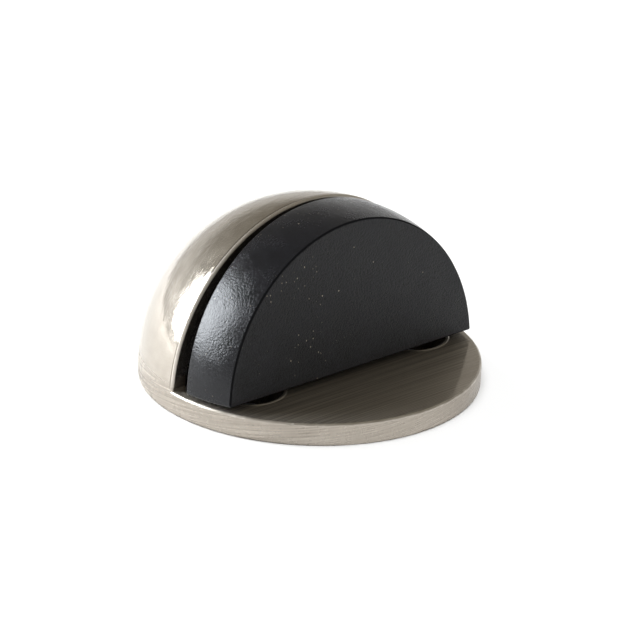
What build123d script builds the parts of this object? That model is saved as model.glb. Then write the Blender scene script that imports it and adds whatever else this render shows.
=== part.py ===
from build123d import *
import os

# Half-dome floor door stop: a one-piece cast body and a rubber buffer that
# pushes onto two pegs cast inside the dome.
# Millimetres and degrees. Origin: centre of the round base, on the floor.
# +Z is up, and the door arrives from -Y, at the flat face of the rubber.

# Cast body
base_diameter = 45.0
plate_thickness = 3.0
dome_centre_height = 1.7       # height of the dome's centre above the floor
cut_plane_offset = 1.2         # from the base's centre back to the dome's cut face
wall_thickness = 2.3
plate_edge_fillet = 0.3
dome_edge_fillet = 0.35        # outer edge of the cut face
mouth_edge_fillet = 0.3        # inner edge of the cut face

# Two countersunk holes for the fixing screws
screw_spacing = 28.6
screw_hole_diameter = 4.8
countersink_diameter = 9.6
countersink_depth = 2.4
countersink_gap = 0.3          # from the cut face forward to the countersinks' edges

# Two pegs inside the dome, along the leaning axis of the buffer
seat_tilt = 3.9                # the buffer leans back, so its front edge is raised
peg_diameter = 4.0
peg_spacing = 18.0
peg_height = 9.5               # from the dome's centre up to the pegs
peg_engagement = 6.5           # length of peg inside the rubber
peg_clearance = 0.05           # radial, in the rubber's holes
peg_end_gap = 1.5              # between a peg's end and the bottom of its hole
peg_end_chamfer = 0.4

# Rubber buffer, measured along and across its leaning axis
buffer_inset = 0.5             # its curved side follows a ball that much smaller than the dome
buffer_forward = 1.9           # from the dome's centre forward to that ball's centre
buffer_raise = 0.4             # from the dome's centre up to that ball's centre
face_reach = 6.8               # from that ball's centre forward to the flat face
shoulder_reach = 0.75          # from that ball's centre back to the shoulder
underside_lift = 0.2           # from the plate's top up to the buffer's underside, before it leans
plug_clearance = 0.7           # between the plug and the dome's inner wall
plug_depth = 11.0              # from the shoulder back to the plug's end
plug_step = 1.1                # from the buffer's underside up to the plug's
buffer_edge_fillet = 0.25
plug_edge_fillet = 0.8         # round the end that goes in first

base_radius = base_diameter / 2
inner_radius = base_radius - wall_thickness
buffer_radius = base_radius - buffer_inset
plug_radius = inner_radius - plug_clearance
screw_row_y = cut_plane_offset - countersink_gap - countersink_diameter / 2
underside_height = plate_thickness + underside_lift - dome_centre_height
dome_centre = (0, 0, dome_centre_height)
reach = base_diameter          # further out than any face of the door stop
overrun = 1.0                  # how far a cut or a joined block runs past a face

# places along the buffer's axis, measured back from the dome's centre
face_y = -buffer_forward - face_reach
shoulder_y = -buffer_forward + shoulder_reach
plug_end_y = shoulder_y + plug_depth
peg_tip_y = plug_end_y - peg_engagement
peg_hole_end_y = peg_tip_y - peg_end_gap


def box_between(low, high):
    size = [b - a for a, b in zip(low, high)]
    middle = [(a + b) / 2 for a, b in zip(low, high)]
    return Pos(*middle) * Box(*size)


def rod_along_y(diameter, start_y, end_y, x, z):
    length = end_y - start_y
    return Pos(x, (start_y + end_y) / 2, z) * Rot(90, 0, 0) * Cylinder(diameter / 2, length)


def leaning(shape):
    """Stand a shape from the buffer's own axes in its place in the dome."""
    return Pos(*dome_centre) * Rot(-seat_tilt, 0, 0) * shape


def outer_form():
    """A low drum that runs smoothly into a half ball."""
    drum = Cylinder(base_radius, dome_centre_height, align=(Align.CENTER, Align.CENTER, Align.MIN))
    ball = Pos(*dome_centre) * Sphere(base_radius)
    return drum + (ball & box_between((-reach, -reach, dome_centre_height), (reach, reach, reach)))


def base_plate():
    plate = outer_form() & box_between((-reach, -reach, 0), (reach, reach, plate_thickness))
    rims = plate.edges().group_by(Axis.Z)
    return fillet(rims[-1] + rims[0], plate_edge_fillet)


def hollow():
    ball = Pos(*dome_centre) * Sphere(inner_radius)
    return ball & box_between((-reach, -reach, plate_thickness), (reach, reach, reach))


def smallest_arc_of_cut_face(dome):
    arcs = dome.faces().sort_by(Axis.Y)[0].edges().filter_by(GeomType.CIRCLE)
    return arcs.sort_by(SortBy.RADIUS)[0]


def half_dome():
    low = (-reach, cut_plane_offset, dome_centre_height)
    dome = outer_form() & box_between(low, (reach, reach, reach))
    dome = fillet(smallest_arc_of_cut_face(dome), dome_edge_fillet)
    dome -= hollow()
    return fillet(smallest_arc_of_cut_face(dome), mouth_edge_fillet)


def pegs():
    x = peg_spacing / 2
    wall_middle = Pos(*dome_centre) * Sphere(base_radius - wall_thickness / 2)
    rods = []
    for side in (-x, x):
        rod = rod_along_y(peg_diameter, peg_tip_y, base_radius, side, peg_height)
        tip = rod.edges().group_by(Axis.Y)[0]
        rods.append(leaning(chamfer(tip, peg_end_chamfer)) & wall_middle)
    return rods


def countersunk_holes():
    x = screw_spacing / 2
    cone = Cone(
        screw_hole_diameter / 2,
        countersink_diameter / 2,
        countersink_depth,
        align=(Align.CENTER, Align.CENTER, Align.MAX),
    )
    shaft = Cylinder(screw_hole_diameter / 2, reach)
    cutter = Pos(0, 0, plate_thickness) * (cone + shaft)
    return [Pos(side, screw_row_y, 0) * cutter for side in (-x, x)]


def cast_body():
    body = base_plate() + half_dome()
    for peg in pegs():
        body += peg
    for hole in countersunk_holes():
        body -= hole
    return body


def buffer_block():
    ball = Pos(0, -buffer_forward, buffer_raise) * Sphere(buffer_radius)
    block = ball & box_between((-reach, face_y, underside_height), (reach, shoulder_y, reach))
    return fillet(block.edges(), buffer_edge_fillet)


def buffer_plug():
    low = (-reach, shoulder_y - overrun, underside_height + plug_step)
    plug = Sphere(plug_radius) & box_between(low, (reach, plug_end_y, reach))
    return fillet(plug.faces().sort_by(Axis.Y)[-1].edges(), plug_edge_fillet)


def rubber_buffer():
    buffer = buffer_block() + buffer_plug()
    hole_diameter = peg_diameter + 2 * peg_clearance
    x = peg_spacing / 2
    for side in (-x, x):
        buffer -= rod_along_y(hole_diameter, peg_hole_end_y, plug_end_y + overrun, side, peg_height)
    return leaning(buffer)


os.makedirs("parts", exist_ok=True)
for name, shape in (("cast_body", cast_body()), ("rubber_buffer", rubber_buffer())):
    shape.label = name
    print(name, round(shape.volume, 1), "cubic mm,", shape.bounding_box())
    export_step(shape, "parts/" + name + ".step")
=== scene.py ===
import bpy
import bmesh
import math
from mathutils import Matrix, Vector


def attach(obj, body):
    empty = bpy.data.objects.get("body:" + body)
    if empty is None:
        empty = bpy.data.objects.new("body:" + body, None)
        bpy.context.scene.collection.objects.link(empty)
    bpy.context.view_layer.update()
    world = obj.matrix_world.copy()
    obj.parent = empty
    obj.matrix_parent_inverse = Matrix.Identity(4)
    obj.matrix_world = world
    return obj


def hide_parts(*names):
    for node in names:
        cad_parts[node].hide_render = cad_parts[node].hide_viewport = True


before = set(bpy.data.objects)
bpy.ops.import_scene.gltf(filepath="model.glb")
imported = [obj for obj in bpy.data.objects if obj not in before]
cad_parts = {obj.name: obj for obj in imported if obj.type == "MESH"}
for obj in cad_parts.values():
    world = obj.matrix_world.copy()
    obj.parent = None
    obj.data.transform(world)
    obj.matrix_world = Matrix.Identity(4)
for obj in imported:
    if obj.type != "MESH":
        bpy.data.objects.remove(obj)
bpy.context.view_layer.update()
print("frame loaded:", sorted(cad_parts))

mm = 0.001


# node helpers: a socket takes a number, a colour or another node's output

def newMaterial(name):
    mat = bpy.data.materials.new(name)
    mat.use_nodes = True
    tree = mat.node_tree
    tree.nodes.clear()
    out = tree.nodes.new("ShaderNodeOutputMaterial")
    shader = tree.nodes.new("ShaderNodeBsdfPrincipled")
    tree.links.new(shader.outputs[0], out.inputs[0])
    return mat, tree, shader


def feed(tree, source, socket):
    if isinstance(source, bpy.types.NodeSocket):
        tree.links.new(source, socket)
    else:
        socket.default_value = source


def secondSheen(tree, shader, factor, roughness):
    # mixes in a duller copy of the metal, for the light its fine scratches scatter
    dull = tree.nodes.new("ShaderNodeBsdfPrincipled")
    for key in ("Base Color", "Metallic", "Normal"):
        tree.links.new(shader.inputs[key].links[0].from_socket, dull.inputs[key])
    dull.inputs["Roughness"].default_value = roughness
    both = tree.nodes.new("ShaderNodeMixShader")
    feed(tree, factor, both.inputs[0])
    tree.links.new(shader.outputs[0], both.inputs[1])
    tree.links.new(dull.outputs[0], both.inputs[2])
    tree.links.new(both.outputs[0], tree.nodes["Material Output"].inputs[0])


def calc(tree, operation, a, b=0.0):
    node = tree.nodes.new("ShaderNodeMath")
    node.operation = operation
    for socket, value in zip(node.inputs, (a, b, 0.0)):
        feed(tree, value, socket)
    return node.outputs[0]


def times(tree, a, b):
    return calc(tree, "MULTIPLY", a, b)


def plus(tree, a, b):
    return calc(tree, "ADD", a, b)


def minus(tree, a, b):
    return calc(tree, "SUBTRACT", a, b)


def most(tree, a, b):
    return calc(tree, "MAXIMUM", a, b)


def distance(tree, a, b):
    return calc(tree, "SQRT", plus(tree, times(tree, a, a), times(tree, b, b)))


def between(tree, value, low, high, toLow=0.0, toHigh=1.0):
    node = tree.nodes.new("ShaderNodeMapRange")
    node.interpolation_type = "SMOOTHSTEP"
    for key, number in zip(("From Min", "From Max", "To Min", "To Max"), (low, high, toLow, toHigh)):
        node.inputs[key].default_value = number
    feed(tree, value, node.inputs["Value"])
    return node.outputs[0]


def past(tree, value, border, start, end):
    # from 0 at border + start to 1 at border + end
    return between(tree, value, border + start, border + end)


def nearTo(tree, value, centre, wide, narrow):
    # 1 within narrow of the centre, 0 further off than wide
    return between(tree, calc(tree, "ABSOLUTE", minus(tree, value, centre)), wide, narrow)


def swing(tree, value, pattern, amount):
    # adds a pattern of 0 to 1, so that its middle changes nothing
    return plus(tree, value, times(tree, minus(tree, pattern, 0.5), amount))


def mixColor(tree, factor, a, b):
    node = tree.nodes.new("ShaderNodeMix")
    node.data_type = "RGBA"
    for index, value in ((0, factor), (6, a), (7, b)):
        feed(tree, value, node.inputs[index])
    return node.outputs[2]


def mixValue(tree, factor, a, b):
    node = tree.nodes.new("ShaderNodeMix")
    node.data_type = "FLOAT"
    for index, value in ((0, factor), (2, a), (3, b)):
        feed(tree, value, node.inputs[index])
    return node.outputs[0]


def vector(tree, x, y, z):
    node = tree.nodes.new("ShaderNodeCombineXYZ")
    for socket, value in zip(node.inputs, (x, y, z)):
        feed(tree, value, socket)
    return node.outputs[0]


def noise(tree, place, size, detail=2, roughness=0.5, distortion=0.0):
    node = tree.nodes.new("ShaderNodeTexNoise")
    feed(tree, place, node.inputs["Vector"])
    node.inputs["Scale"].default_value = 1 / size
    node.inputs["Detail"].default_value = detail
    node.inputs["Roughness"].default_value = roughness
    node.inputs["Distortion"].default_value = distortion
    return node.outputs["Fac"]


def patches(tree, place, low, high, toLow=0.0, toHigh=1.0, **grain):
    # soft patches: toLow where the noise is under low, toHigh where it is over high
    return between(tree, noise(tree, place, **grain), low, high, toLow, toHigh)


def specks(tree, across, along, size, spread, share):
    # 1 inside a few small round specks, 0 elsewhere
    node = tree.nodes.new("ShaderNodeTexVoronoi")
    node.voronoi_dimensions = "2D"
    feed(tree, vector(tree, across, along, 0.0), node.inputs["Vector"])
    node.inputs["Scale"].default_value = 1 / spread
    split = tree.nodes.new("ShaderNodeSeparateColor")
    tree.links.new(node.outputs["Color"], split.inputs[0])
    chosen = calc(tree, "LESS_THAN", split.outputs[0], share)
    radius = times(tree, split.outputs[1], size / spread)
    return times(tree, chosen, calc(tree, "LESS_THAN", node.outputs["Distance"], radius))


def pebbles(tree, place, size):
    node = tree.nodes.new("ShaderNodeTexVoronoi")
    node.feature = "SMOOTH_F1"
    feed(tree, place, node.inputs["Vector"])
    node.inputs["Scale"].default_value = 1 / size
    return minus(tree, 1.0, node.outputs["Distance"])


def bump(tree, height, depth, normal=None):
    node = tree.nodes.new("ShaderNodeBump")
    node.inputs["Strength"].default_value = 1.0
    node.inputs["Distance"].default_value = depth
    feed(tree, height, node.inputs["Height"])
    if normal is not None:
        tree.links.new(normal, node.inputs["Normal"])
    return node.outputs[0]


def objectPlace(tree):
    place = tree.nodes.new("ShaderNodeTexCoord").outputs["Object"]
    split = tree.nodes.new("ShaderNodeSeparateXYZ")
    tree.links.new(place, split.inputs[0])
    return place, split.outputs[0], split.outputs[1], split.outputs[2]


# satin nickel on the casting; pairs are where a thing begins and where it is full

nickel = {
    "color": (0.52, 0.475, 0.415, 1),
    "shade": (0.40, 0.360, 0.310, 1),
    "wearAndHighlightColor": (0.72, 0.68, 0.62, 1),
    "cutShadeColor": (0.16, 0.135, 0.11, 1),
    "rimLinesAndShadeColor": (0.30, 0.265, 0.225, 1),
    "sinkColor": (0.26, 0.225, 0.185, 1),
    "sinkMetal": 0.62,
    "plateRoughness": 0.10,
    "domeRoughness": 0.15,
    "rimRoughness": 0.28,
    # sizes of the casting
    "baseRadius": 22.5 * mm,
    "plateTop": 3.0 * mm,
    "cutPlane": 1.2 * mm,
    "domeCentre": 1.7 * mm,
    "holeX": 14.3 * mm,
    "holeY": -3.9 * mm,
    "sinkRadius": 4.95 * mm,
    # borders of its areas, measured from the plate's top, its rim and the countersink
    "domeAbove": (0.1 * mm, 0.5 * mm),
    "rimOutside": (-0.45 * mm, -0.2 * mm),
    "rimBelow": (1.8 * mm, -0.1 * mm),
    "sinkInside": (-0.1 * mm, -0.3 * mm),
    # brush marks: straight on the plate, round the rim and the dome's foot, over its top
    "plateStroke": {"width": 0.15 * mm, "stretch": 200, "broadShare": 0.2},
    "rimStroke": {"width": 0.17 * mm, "stretch": 60, "broadShare": 0.2},
    "footStroke": {"width": 0.20 * mm, "stretch": 28, "broadShare": 0.35},
    "topStroke": {"width": 0.20 * mm, "stretch": 40, "broadShare": 0.35},
    "broadTimes": 5,
    "fineRange": (0.28, 0.72),
    "broadRange": (0.3, 0.7),
    "rimSlant": 0.12,
    "topHeight": (7 * mm, 13 * mm),
    "strokeDepth": 0.003 * mm,
    "plateDepth": 0.25,
    "domeDepth": 0.12,
    "rimDepth": 1.0,
    # hollows left by hand polishing, drawn into bands that follow the dome
    "bandPull": (0.35, 1.5, 0.35),
    "polish": {"size": 4.0 * mm, "detail": 2.5, "distortion": 0.8},
    "ripple": {"size": 2.4 * mm, "detail": 1.5, "distortion": 1.5},
    "polishShare": 0.6,
    "rippleShare": 0.4,
    "polishDepth": 0.08 * mm,
    "smudge": {"size": 1.8 * mm, "detail": 3, "low": 0.3, "high": 0.7},
    # thin curved scratches, in patches of the dome behind its cut face
    "swirl": {"size": 9 * mm, "detail": 0, "distortion": 0.6},
    "swirlTurns": 9,
    "scratchWidth": (0.035, 0.008),
    "scratchPatch": {"size": 2.2 * mm, "low": 0.54, "high": 0.66},
    "scratchBehind": (1.5 * mm, 1.8 * mm),
    "scratchShows": 0.18,
    "scratchDepth": -0.05,
    # the plate's top edge, rubbed and lighter as a painted highlight, measured from the rim, the top and the
    # cut plane
    "edgeOutside": (-0.42 * mm, -0.18 * mm),
    "edgeDown": 0.12 * mm,
    "edgeReach": (0.30 * mm, 0.08 * mm),
    "edgeFront": (0.1 * mm, -0.4 * mm),
    "wearAndHighlightPatches": {"size": 2.5 * mm, "low": 0.35, "high": 0.65, "toLow": 0.35, "toHigh": 0.85},
    "wearAndHighlightShows": 0.8,
    "wearRoughness": 0.12,
    # nicks in that edge, towards the left
    "chips": {"size": 0.5 * mm, "detail": 3, "roughness": 0.65, "low": 0.60, "high": 0.66},
    "chipsLeft": (-9 * mm, -14 * mm),
    "chipDepth": 0.05 * mm,
    # the cut face's outer edge: a painted highlight along its rounding, with a painted shade line behind it
    "skinInside": (-0.55 * mm, -0.3 * mm),
    "cutEdgeBehind": (0.40 * mm, 0.28 * mm),
    "cutEdgeShows": 0.6,
    "cutLineBehind": 0.48 * mm,
    "cutLineReach": (0.16 * mm, 0.05 * mm),
    "cutLineShows": 0.75,
    # the burr round each countersink, lighter as a painted highlight, and the dirt inside
    "burrReach": (0.30 * mm, 0.10 * mm),
    "burrBelow": (0.3 * mm, 0.1 * mm),
    "burrDepth": 0.12 * mm,
    "dirt": {"size": 1.1 * mm, "detail": 3, "roughness": 0.6, "low": 0.3, "high": 0.7, "toLow": 0.5},
    # how much the dome hides its brush marks and shows its smudges
    "domeHides": 0.7,
    "domeSmudges": 0.4,
    # dull brush lines on the rim, faded in front as painted light, with painted shade added at the right
    "rimFrontLighter": (1 * mm, 5 * mm, 0.85, 0.15),
    "rimRightShade": (23 * mm, 30 * mm, 0.0, 0.6),
    "strokeRoughness": 0.06,
    "smudgeRoughness": 0.07,
    # share of the light that is scattered, and how dull it is
    "scatterRoughness": 0.6,
    "plateScatter": (0.1, 0.9, 0.64, 0.94),
    "domeScatter": 0.2,
    "rimScatter": 0.4,
    "dirtScatter": 0.6,
    "burrScatter": 0.9,
    "cutEdgeScatter": 0.8,
    "scratchScatter": 0.25,
}


def strokes(tree, along, across, width, stretch, broadShare):
    # brush marks: fine across, drawn out along
    n = nickel
    place = vector(tree, times(tree, along, 1 / stretch), across, 0.0)
    fine = between(tree, noise(tree, place, width), *n["fineRange"])
    broad = between(tree, noise(tree, place, width * n["broadTimes"]), *n["broadRange"])
    return mixValue(tree, broadShare, fine, broad)


def byArea(tree, at, plate, dome, rim):
    return mixValue(tree, at["onRim"], mixValue(tree, at["onDome"], plate, dome), rim)


def castingPlace(tree):
    # where a point is on the casting; onDome, onRim and inSink are 1 there and 0 elsewhere
    n = nickel
    place, x, y, z = objectPlace(tree)
    radius = distance(tree, x, y)
    up = minus(tree, z, n["domeCentre"])
    holeX = minus(tree, calc(tree, "ABSOLUTE", x), n["holeX"])
    holeRadius = distance(tree, holeX, minus(tree, y, n["holeY"]))
    onRim = times(
        tree,
        past(tree, radius, n["baseRadius"], *n["rimOutside"]),
        past(tree, z, n["plateTop"], *n["rimBelow"]),
    )
    return {
        "place": place,
        "x": x,
        "y": y,
        "z": z,
        "radius": radius,
        "skin": distance(tree, x, up),
        "turnArc": times(tree, calc(tree, "ARCTAN2", x, y), n["baseRadius"]),
        "riseArc": times(tree, calc(tree, "ARCTAN2", x, up), n["baseRadius"]),
        "holeRadius": holeRadius,
        "onDome": past(tree, z, n["plateTop"], *n["domeAbove"]),
        "onRim": onRim,
        "inSink": past(tree, holeRadius, n["sinkRadius"], *n["sinkInside"]),
    }


def brushMarks(tree, at):
    n = nickel
    slanted = plus(tree, at["z"], times(tree, at["turnArc"], n["rimSlant"]))
    plate = strokes(tree, at["x"], at["y"], **n["plateStroke"])
    rim = strokes(tree, at["turnArc"], slanted, **n["rimStroke"])
    foot = strokes(tree, at["turnArc"], slanted, **n["footStroke"])
    top = strokes(tree, at["riseArc"], at["y"], **n["topStroke"])
    dome = mixValue(tree, between(tree, at["z"], *n["topHeight"]), foot, top)
    return byArea(tree, at, plate, dome, rim)


def handPolish(tree, at):
    n = nickel
    pulled = [times(tree, at[key], pull) for key, pull in zip(("riseArc", "y", "z"), n["bandPull"])]
    polish = noise(tree, vector(tree, *pulled), **n["polish"])
    ripple = noise(tree, at["place"], **n["ripple"])
    return plus(tree, times(tree, polish, n["polishShare"]), times(tree, ripple, n["rippleShare"]))


def scratches(tree, at):
    n = nickel
    turns = calc(tree, "FRACT", times(tree, noise(tree, at["place"], **n["swirl"]), n["swirlTurns"]))
    lines = nearTo(tree, turns, 0.5, *n["scratchWidth"])
    lines = times(tree, lines, patches(tree, at["place"], **n["scratchPatch"]))
    return times(tree, lines, times(tree, at["onDome"], between(tree, at["y"], *n["scratchBehind"])))


def plateEdge(tree, at):
    n = nickel
    edge = times(
        tree,
        past(tree, at["radius"], n["baseRadius"], *n["edgeOutside"]),
        nearTo(tree, at["z"], n["plateTop"] - n["edgeDown"], *n["edgeReach"]),
    )
    return times(tree, edge, past(tree, at["y"], n["cutPlane"], *n["edgeFront"]))


def cutFaceEdge(tree, at):
    # a painted highlight on the cut face's rounded outer edge, and a painted shade line just behind it
    n = nickel
    nearSkin = times(tree, past(tree, at["skin"], n["baseRadius"], *n["skinInside"]), at["onDome"])
    behind = minus(tree, at["y"], n["cutPlane"])
    bright = times(tree, nearSkin, between(tree, behind, *n["cutEdgeBehind"]))
    dark = times(tree, nearSkin, nearTo(tree, behind, n["cutLineBehind"], *n["cutLineReach"]))
    return bright, dark


def sinkBurr(tree, at):
    n = nickel
    return times(
        tree,
        nearTo(tree, at["holeRadius"], n["sinkRadius"], *n["burrReach"]),
        past(tree, at["z"], n["plateTop"], *n["burrBelow"]),
    )


def castingMarks(tree, at):
    n = nickel
    place = at["place"]
    edge = plateEdge(tree, at)
    burr = sinkBurr(tree, at)
    cutEdge, cutLine = cutFaceEdge(tree, at)
    return {
        "stroke": brushMarks(tree, at),
        "polish": handPolish(tree, at),
        "smudge": patches(tree, place, **n["smudge"]),
        "scratch": scratches(tree, at),
        "edge": edge,
        "burr": burr,
        "cutEdge": cutEdge,
        "cutLine": cutLine,
        # lighter edges: partly real wear, partly a painted highlight where the edges catch the light
        "wearAndHighlight": times(tree, most(tree, edge, burr), patches(tree, place, **n["wearAndHighlightPatches"])),
        "dirt": times(tree, at["inSink"], patches(tree, place, **n["dirt"])),
    }


def nickelColor(tree, at, marks):
    n = nickel
    seen = mixValue(tree, times(tree, at["onDome"], n["domeHides"]), marks["stroke"], 0.5)
    tone = mixValue(tree, times(tree, at["onDome"], n["domeSmudges"]), seen, marks["smudge"])
    color = mixColor(tree, tone, n["shade"], n["color"])
    # the cut edge's painted highlight, its painted shade line, and the real scratches
    for mark, shows, over in (
        ("cutEdge", n["cutEdgeShows"], n["wearAndHighlightColor"]),
        ("cutLine", n["cutLineShows"], n["cutShadeColor"]),
        ("scratch", n["scratchShows"], n["wearAndHighlightColor"]),
    ):
        color = mixColor(tree, times(tree, marks[mark], shows), color, over)
    # darker brush lines on the rim, faded towards the front as painted light, and painted shade at the right
    sideways = minus(tree, at["x"], at["y"])
    rimLinesAndShade = times(tree, minus(tree, 1.0, marks["stroke"]), between(tree, sideways, *n["rimFrontLighter"]))
    rimLinesAndShade = plus(tree, rimLinesAndShade, between(tree, sideways, *n["rimRightShade"]))
    color = mixColor(tree, times(tree, at["onRim"], rimLinesAndShade), color, n["rimLinesAndShadeColor"])
    color = mixColor(tree, marks["dirt"], color, n["sinkColor"])
    # lighter edges and rims: wear and painted highlight
    return mixColor(tree, times(tree, marks["wearAndHighlight"], n["wearAndHighlightShows"]), color, n["wearAndHighlightColor"])


def nickelRoughness(tree, at, marks):
    n = nickel
    rough = byArea(tree, at, n["plateRoughness"], n["domeRoughness"], n["rimRoughness"])
    rough = swing(tree, rough, marks["stroke"], n["strokeRoughness"])
    rough = swing(tree, rough, marks["smudge"], n["smudgeRoughness"])
    return plus(tree, rough, times(tree, marks["wearAndHighlight"], n["wearRoughness"]))


def nickelNormal(tree, at, marks):
    # brush marks first, then nicks and scratches, the burrs and the polished hollows
    n = nickel
    depth = byArea(tree, at, n["plateDepth"], n["domeDepth"], n["rimDepth"])
    brushed = bump(tree, times(tree, marks["stroke"], depth), n["strokeDepth"])
    chips = times(tree, patches(tree, at["place"], **n["chips"]), marks["edge"])
    chips = times(tree, chips, between(tree, at["x"], *n["chipsLeft"]))
    sunk = plus(tree, times(tree, chips, -1.0), times(tree, marks["scratch"], n["scratchDepth"]))
    nicked = bump(tree, sunk, n["chipDepth"], brushed)
    burred = bump(tree, marks["burr"], n["burrDepth"], nicked)
    return bump(tree, times(tree, marks["polish"], at["onDome"]), n["polishDepth"], burred)


def nickelScatter(tree, at, marks):
    n = nickel
    plate = between(tree, marks["stroke"], *n["plateScatter"])
    share = byArea(tree, at, plate, times(tree, plate, n["domeScatter"]), n["rimScatter"])
    share = most(tree, share, times(tree, marks["dirt"], n["dirtScatter"]))
    share = most(tree, share, times(tree, marks["burr"], n["burrScatter"]))
    share = most(tree, share, times(tree, marks["cutEdge"], n["cutEdgeScatter"]))
    return most(tree, share, times(tree, marks["scratch"], n["scratchScatter"]))


def nickelMaterial():
    mat, tree, shader = newMaterial("satinNickel")
    at = castingPlace(tree)
    marks = castingMarks(tree, at)
    feed(tree, nickelColor(tree, at, marks), shader.inputs["Base Color"])
    feed(tree, mixValue(tree, marks["dirt"], 1.0, nickel["sinkMetal"]), shader.inputs["Metallic"])
    feed(tree, nickelRoughness(tree, at, marks), shader.inputs["Roughness"])
    feed(tree, nickelNormal(tree, at, marks), shader.inputs["Normal"])
    secondSheen(tree, shader, nickelScatter(tree, at, marks), nickel["scatterRoughness"])
    return mat


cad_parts["cast_body"].material_slots[0].material = nickelMaterial()
print("casting finished")


# the rubber buffer, in its own leaning axes: -Y out of its face, from the dome's centre

buffer = {
    "domeCentre": 1.7 * mm,
    "lean": 3.9,
    "ballRadius": 22.0 * mm,
    "ballY": -1.9 * mm,
    "ballZ": 0.4 * mm,
    "faceY": -8.7 * mm,
    "shoulderY": -1.15 * mm,
    "underside": 1.5 * mm,
    "edge": 0.25 * mm,
    "edgeSegments": 3,
    "rings": 24,
    "ringSegments": 256,
    # the plug, and the holes for the pegs
    "plugRadius": 19.5 * mm,
    "plugEndY": 9.85 * mm,
    "plugUnderside": 2.6 * mm,
    "plugEdge": 0.5 * mm,
    "plugEdgeSegments": 5,
    "plugRings": 12,
    "plugSegments": 128,
    "plugOverlap": 1 * mm,
    "plugEndSlack": 0.01 * mm,
    "holeRadius": 2.05 * mm,
    "holeX": 9.0 * mm,
    "holeZ": 9.5 * mm,
    "holeEndY": 1.85 * mm,
    "holeOverlap": 2 * mm,
    "holeSegments": 48,
    # mesh clean-up
    "weld": 0.002 * mm,
    "sliver": 0.004 * mm,
    "roundFrom": 35,
    "sharpFrom": 75,
    # which polygons are the flat face, and which the painted shade line round it
    "faceFacing": 0.95,
    "lineFacing": 0.5,
    "lineDepth": 1.1,
    # pale dust and lint
    "dustColor": (0.42, 0.37, 0.29, 1),
    "dust": {"size": 0.09 * mm, "spread": 3.0 * mm, "share": 0.22},
    "lint": {"size": 0.07 * mm, "spread": 0.65 * mm, "share": 0.45},
    "lintPull": 0.6,
    "lintLeft": (2 * mm, -10 * mm),
    "lintPatch": {"size": 5.0 * mm, "low": 0.45, "high": 0.60},
    # unevenness that the face and the band share
    "cloud": {"size": 3.5 * mm, "detail": 3, "roughness": 0.55, "low": 0.3, "high": 0.7},
    "cloudDepth": 0.03 * mm,
    "cloudTone": 0.3,
    "grainTone": 0.7,
    "roughnessSwing": 0.10,
    "face": {
        "grain": {
            "size": 0.26 * mm, "detail": 3, "roughness": 0.65, "distortion": 0.3,
            "low": 0.3, "high": 0.7,
        },
        "depth": 0.055 * mm,
        "roughness": 0.5,
        "specular": 0.31,
        "dark": (0.0008, 0.0009, 0.0012, 1),
        "light": (0.0160, 0.0165, 0.0190, 1),
        "dirt": 0.8,
    },
    "band": {
        "grain": {
            "size": 0.24 * mm, "detail": 3, "roughness": 0.65, "distortion": 0.3,
            "low": 0.3, "high": 0.7,
        },
        "grainShare": 0.4,
        "pebble": 0.24 * mm,
        "depth": 0.025 * mm,
        "footHeight": (6 * mm, 11 * mm, 0.35, 1.0),
        "roughness": 0.20,
        "specular": 0.33,
        "dark": (0.0030, 0.0032, 0.0042, 1),
        "light": (0.0085, 0.0090, 0.0120, 1),
        "dirt": 0.35,
    },
    # a dark, barely reflective line: painted shade on the face's rounded edge
    "edgeShadeLine": {
        "grain": 0.3 * mm,
        "depth": 0.01 * mm,
        "roughness": (0.3, 0.7, 0.6, 0.8),
        "specular": 0.05,
        "dark": (0.0010, 0.0010, 0.0013, 1),
        "light": (0.0060, 0.0062, 0.0070, 1),
    },
}


def spunBall(radius, centreY, centreZ, frontY, backY, rings, segments):
    # a slice of a ball between two planes square to Y, closed with flat ends
    bm = bmesh.new()
    start = math.asin((frontY - centreY) / radius)
    end = math.asin((backY - centreY) / radius)
    points = []
    for i in range(rings + 1):
        angle = start + (end - start) * i / rings
        points.append(bm.verts.new((radius * math.cos(angle), centreY + radius * math.sin(angle), centreZ)))
    edges = [bm.edges.new(pair) for pair in zip(points, points[1:])]
    bmesh.ops.spin(
        bm, geom=points + edges, cent=(0, 0, centreZ), axis=(0, 1, 0), angle=2 * math.pi,
        steps=segments, use_merge=True, use_duplicate=False,
    )
    bmesh.ops.remove_doubles(bm, verts=bm.verts, dist=buffer["weld"])
    bmesh.ops.holes_fill(bm, edges=[e for e in bm.edges if e.is_boundary], sides=0)
    bmesh.ops.recalc_face_normals(bm, faces=bm.faces)
    return bm


def cutBelow(bm, height):
    cut = bmesh.ops.bisect_plane(
        bm, geom=bm.verts[:] + bm.edges[:] + bm.faces[:], plane_co=(0, 0, height),
        plane_no=(0, 0, -1), clear_outer=True,
    )
    rim = [g for g in cut["geom_cut"] if isinstance(g, bmesh.types.BMEdge)]
    bmesh.ops.contextual_create(bm, geom=rim)
    bmesh.ops.recalc_face_normals(bm, faces=bm.faces)


def roundEdges(bm, width, segments, frontLimit=None):
    # rounds the sharp edges, or only those that lie wholly behind frontLimit
    roundFrom = math.radians(buffer["roundFrom"])
    sharp = [e for e in bm.edges if len(e.link_faces) == 2 and e.calc_face_angle() > roundFrom]
    if frontLimit is not None:
        sharp = [e for e in sharp if min(v.co.y for v in e.verts) > frontLimit]
    bmesh.ops.bevel(
        bm, geom=sharp, offset=width, offset_type="OFFSET", segments=segments, profile=0.5,
        affect="EDGES", clamp_overlap=True, material=-1,
    )


def meshObject(name, bm):
    mesh = bpy.data.meshes.new(name)
    bm.to_mesh(mesh)
    bm.free()
    obj = bpy.data.objects.new(name, mesh)
    bpy.context.scene.collection.objects.link(obj)
    return obj


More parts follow.
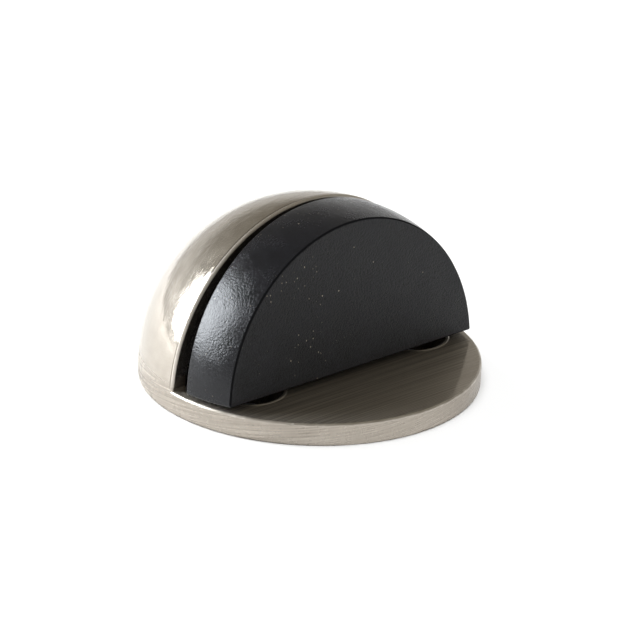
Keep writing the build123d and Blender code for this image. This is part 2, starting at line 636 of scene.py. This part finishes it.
def applyModifiers(obj):
    bpy.context.view_layer.update()
    graph = bpy.context.evaluated_depsgraph_get()
    made = bpy.data.meshes.new_from_object(obj.evaluated_get(graph))
    obj.modifiers.clear()
    obj.data = made


def combine(obj, other, operation):
    mod = obj.modifiers.new(operation.lower(), "BOOLEAN")
    mod.operation = operation
    mod.solver = "EXACT"
    mod.object = other
    applyModifiers(obj)
    bpy.data.objects.remove(other)


def mergeSlivers(obj):
    # the Boolean leaves some edges that are too short to matter
    bm = bmesh.new()
    bm.from_mesh(obj.data)
    bmesh.ops.remove_doubles(bm, verts=bm.verts, dist=buffer["sliver"])
    bmesh.ops.dissolve_degenerate(bm, edges=bm.edges, dist=buffer["sliver"])
    bmesh.ops.recalc_face_normals(bm, faces=bm.faces)
    bm.to_mesh(obj.data)
    bm.free()


def pegHole(side):
    b = buffer
    hole = bmesh.new()
    depth = b["plugEndY"] - b["holeEndY"] + b["holeOverlap"]
    middle = Matrix.Translation((side * b["holeX"], b["holeEndY"] + depth / 2, b["holeZ"]))
    bmesh.ops.create_cone(
        hole, cap_ends=True, segments=b["holeSegments"], radius1=b["holeRadius"], radius2=b["holeRadius"],
        depth=depth, matrix=middle @ Matrix.Rotation(math.pi / 2, 4, "X"),
    )
    return meshObject("hole", hole)


def rubberDirt(tree, place, x, across, along):
    b = buffer
    dust = specks(tree, across, along, **b["dust"])
    lint = specks(tree, across, times(tree, along, b["lintPull"]), **b["lint"])
    lint = times(tree, lint, between(tree, x, *b["lintLeft"]))
    lint = times(tree, lint, patches(tree, place, **b["lintPatch"]))
    return most(tree, dust, lint)


def rubberMaterial(name, finish, isBand):
    b = buffer
    mat, tree, shader = newMaterial(name)
    place, x, y, z = objectPlace(tree)
    across, along, fade = x, z, 1.0
    grain = patches(tree, place, **finish["grain"])
    if isBand:
        # dust follows the band round, and the foot of the band is smoother than the rest
        across = times(tree, calc(tree, "ARCTAN2", x, z), b["ballRadius"])
        along = y
        fade = between(tree, z, *finish["footHeight"])
        grain = plus(tree, times(tree, grain, finish["grainShare"]), pebbles(tree, place, finish["pebble"]))
    cloud = patches(tree, place, **b["cloud"])
    tone = plus(tree, times(tree, grain, b["grainTone"]), times(tree, cloud, b["cloudTone"]))
    dirt = times(tree, rubberDirt(tree, place, x, across, along), finish["dirt"])
    color = mixColor(tree, dirt, mixColor(tree, tone, finish["dark"], finish["light"]), b["dustColor"])
    rough = swing(tree, finish["roughness"], cloud, b["roughnessSwing"])
    uneven = bump(tree, cloud, b["cloudDepth"])
    feed(tree, color, shader.inputs["Base Color"])
    feed(tree, swing(tree, rough, grain, b["roughnessSwing"]), shader.inputs["Roughness"])
    feed(tree, bump(tree, times(tree, grain, fade), finish["depth"], uneven), shader.inputs["Normal"])
    shader.inputs["Specular IOR Level"].default_value = finish["specular"]
    return mat


def edgeShadeLineMaterial():
    # a dull dark line round the face: painted shade on the middle of its rounded edge
    finish = buffer["edgeShadeLine"]
    mat, tree, shader = newMaterial("rubberEdge")
    grain = noise(tree, objectPlace(tree)[0], finish["grain"])
    feed(tree, mixColor(tree, grain, finish["dark"], finish["light"]), shader.inputs["Base Color"])
    feed(tree, between(tree, grain, *finish["roughness"]), shader.inputs["Roughness"])
    feed(tree, bump(tree, grain, finish["depth"]), shader.inputs["Normal"])
    shader.inputs["Specular IOR Level"].default_value = finish["specular"]
    return mat


def paintBuffer(mesh, out, faceDistance):
    # out is the way that the face looks, and faceDistance how far along it the face lies
    b = buffer
    face, band, line = range(3)
    mesh.materials.clear()
    mesh.materials.append(rubberMaterial("rubberFace", b["face"], False))
    mesh.materials.append(rubberMaterial("rubberBand", b["band"], True))
    mesh.materials.append(edgeShadeLineMaterial())
    for polygon in mesh.polygons:
        facing = abs(polygon.normal.dot(out))
        atFace = polygon.center.dot(out) > faceDistance - b["lineDepth"] * b["edge"]
        polygon.material_index = band
        if facing > b["faceFacing"]:
            polygon.material_index = face
        elif atFace and facing > b["lineFacing"]:
            # the middle of the face's rounded edge gets the painted shade line
            polygon.material_index = line
        polygon.use_smooth = True


def makeBuffer():
    b = buffer
    block = spunBall(
        b["ballRadius"], b["ballY"], b["ballZ"], b["faceY"], b["shoulderY"],
        b["rings"], b["ringSegments"],
    )
    cutBelow(block, b["underside"])
    roundEdges(block, b["edge"], b["edgeSegments"])
    piece = meshObject("rubberBuffer", block)
    plug = spunBall(
        b["plugRadius"], 0, 0, b["shoulderY"] - b["plugOverlap"], b["plugEndY"],
        b["plugRings"], b["plugSegments"],
    )
    cutBelow(plug, b["plugUnderside"])
    roundEdges(plug, b["plugEdge"], b["plugEdgeSegments"], b["plugEndY"] - b["plugEndSlack"])
    combine(piece, meshObject("plug", plug), "UNION")
    for side in (-1, 1):
        combine(piece, pegHole(side), "DIFFERENCE")
    mergeSlivers(piece)
    lean = Matrix.Rotation(-math.radians(b["lean"]), 4, "X")
    piece.data.transform(Matrix.Translation((0, 0, b["domeCentre"])) @ lean)
    out = (lean @ Vector((0, -1, 0, 0))).xyz
    paintBuffer(piece.data, out, -b["faceY"] + out.z * b["domeCentre"])
    piece.data.set_sharp_from_angle(angle=math.radians(b["sharpFrom"]))
    piece.modifiers.new("faceNormals", "WEIGHTED_NORMAL").keep_sharp = True
    applyModifiers(piece)
    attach(piece, "buffer")
    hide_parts("rubber_buffer")
    print("rubber buffer finished:", len(piece.data.polygons), "faces")


makeBuffer()


# floor, light and camera

studio = {
    "floorColor": (0.885, 0.90, 0.925, 1),
    "floorRadius": 2.5,
    "floorSegments": 96,
    "floorRoughness": 0.9,
    "floorSpecular": 0.1,
    "azimuth": -42.62,
    "elevation": 22.89,
    "roll": 2.24,
    "distance": 0.400,
    "lens": 171.2,
    "sensorWidth": 36,
    "shiftRight": -1.38 * mm,
    "shiftUp": -6.97 * mm,
    # a dim warm room with a pale band along the horizon
    "roomColor": (0.27, 0.25, 0.21, 1),
    "horizonColor": (0.80, 0.795, 0.78, 1),
    "horizonBand": (0.42, 0.12),
    "aimHeight": 0.01,
    "lamps": {
        "keyLight": {
            "azimuth": -139, "elevation": 20, "distance": 0.45, "width": 0.27, "height": 0.24,
            "power": 4.0, "color": (0.90, 0.95, 1.0), "diffuse": False,
        },
        "lowLight": {
            "azimuth": -165, "elevation": 30, "distance": 0.35, "width": 0.20, "height": 0.20,
            "power": 0.95, "glossy": False,
        },
        "fillLight": {
            "azimuth": -20, "elevation": 75, "distance": 1.5, "width": 1.6, "height": 1.6,
            "power": 27.0, "glossy": False,
        },
        "sideLight": {
            "azimuth": 118, "elevation": 24, "distance": 1.0, "width": 0.6, "height": 0.4,
            "power": 0.30,
        },
    },
}


def makeFloor():
    bm = bmesh.new()
    bmesh.ops.create_circle(bm, cap_ends=True, radius=studio["floorRadius"], segments=studio["floorSegments"])
    floor = meshObject("floor", bm)
    mat, tree, shader = newMaterial("paleFloor")
    shader.inputs["Base Color"].default_value = studio["floorColor"]
    shader.inputs["Roughness"].default_value = studio["floorRoughness"]
    shader.inputs["Specular IOR Level"].default_value = studio["floorSpecular"]
    floor.data.materials.append(mat)


def direction(azimuth, elevation):
    a = math.radians(azimuth)
    e = math.radians(elevation)
    return Vector((math.sin(a) * math.cos(e), -math.cos(a) * math.cos(e), math.sin(e)))


def softLight(
    name, azimuth, elevation, distance, width, height, power,
    color=(1, 1, 1), glossy=True, diffuse=True,
):
    lamp = bpy.data.lights.new(name, "AREA")
    lamp.energy = power
    lamp.color = color
    lamp.shape = "RECTANGLE"
    lamp.size = width
    lamp.size_y = height
    obj = bpy.data.objects.new(name, lamp)
    away = direction(azimuth, elevation)
    obj.location = away * distance + Vector((0, 0, studio["aimHeight"]))
    obj.rotation_euler = (-away).to_track_quat("-Z", "Y").to_euler()
    obj.visible_glossy = glossy
    obj.visible_diffuse = diffuse
    obj.visible_camera = False
    bpy.context.scene.collection.objects.link(obj)


def makeWorld():
    world = bpy.data.worlds.new("studio")
    world.use_nodes = True
    tree = world.node_tree
    background = tree.nodes["Background"]
    place = tree.nodes.new("ShaderNodeTexCoord").outputs["Generated"]
    split = tree.nodes.new("ShaderNodeSeparateXYZ")
    tree.links.new(place, split.inputs[0])
    nearHorizon = between(tree, split.outputs[2], *studio["horizonBand"])
    color = mixColor(tree, nearHorizon, studio["roomColor"], studio["horizonColor"])
    tree.links.new(color, background.inputs["Color"])
    background.inputs["Strength"].default_value = 1.0
    bpy.context.scene.world = world


def makeCamera():
    roll = math.radians(studio["roll"])
    back = direction(studio["azimuth"], studio["elevation"])
    levelRight = Vector((0, 0, 1)).cross(back).normalized()
    levelUp = back.cross(levelRight)
    right = levelRight * math.cos(roll) + levelUp * math.sin(roll)
    up = levelUp * math.cos(roll) - levelRight * math.sin(roll)
    data = bpy.data.cameras.new("camera")
    data.lens = studio["lens"]
    data.sensor_width = studio["sensorWidth"]
    camera = bpy.data.objects.new("camera", data)
    place = back * studio["distance"] - right * studio["shiftRight"] - up * studio["shiftUp"]
    camera.matrix_world = Matrix.Translation(place) @ Matrix((right, up, back)).transposed().to_4x4()
    bpy.context.scene.collection.objects.link(camera)
    bpy.context.scene.camera = camera


makeFloor()
for name, values in studio["lamps"].items():
    softLight(name, **values)
makeWorld()
makeCamera()
bpy.context.scene.view_settings.view_transform = "Standard"
print("studio ready")
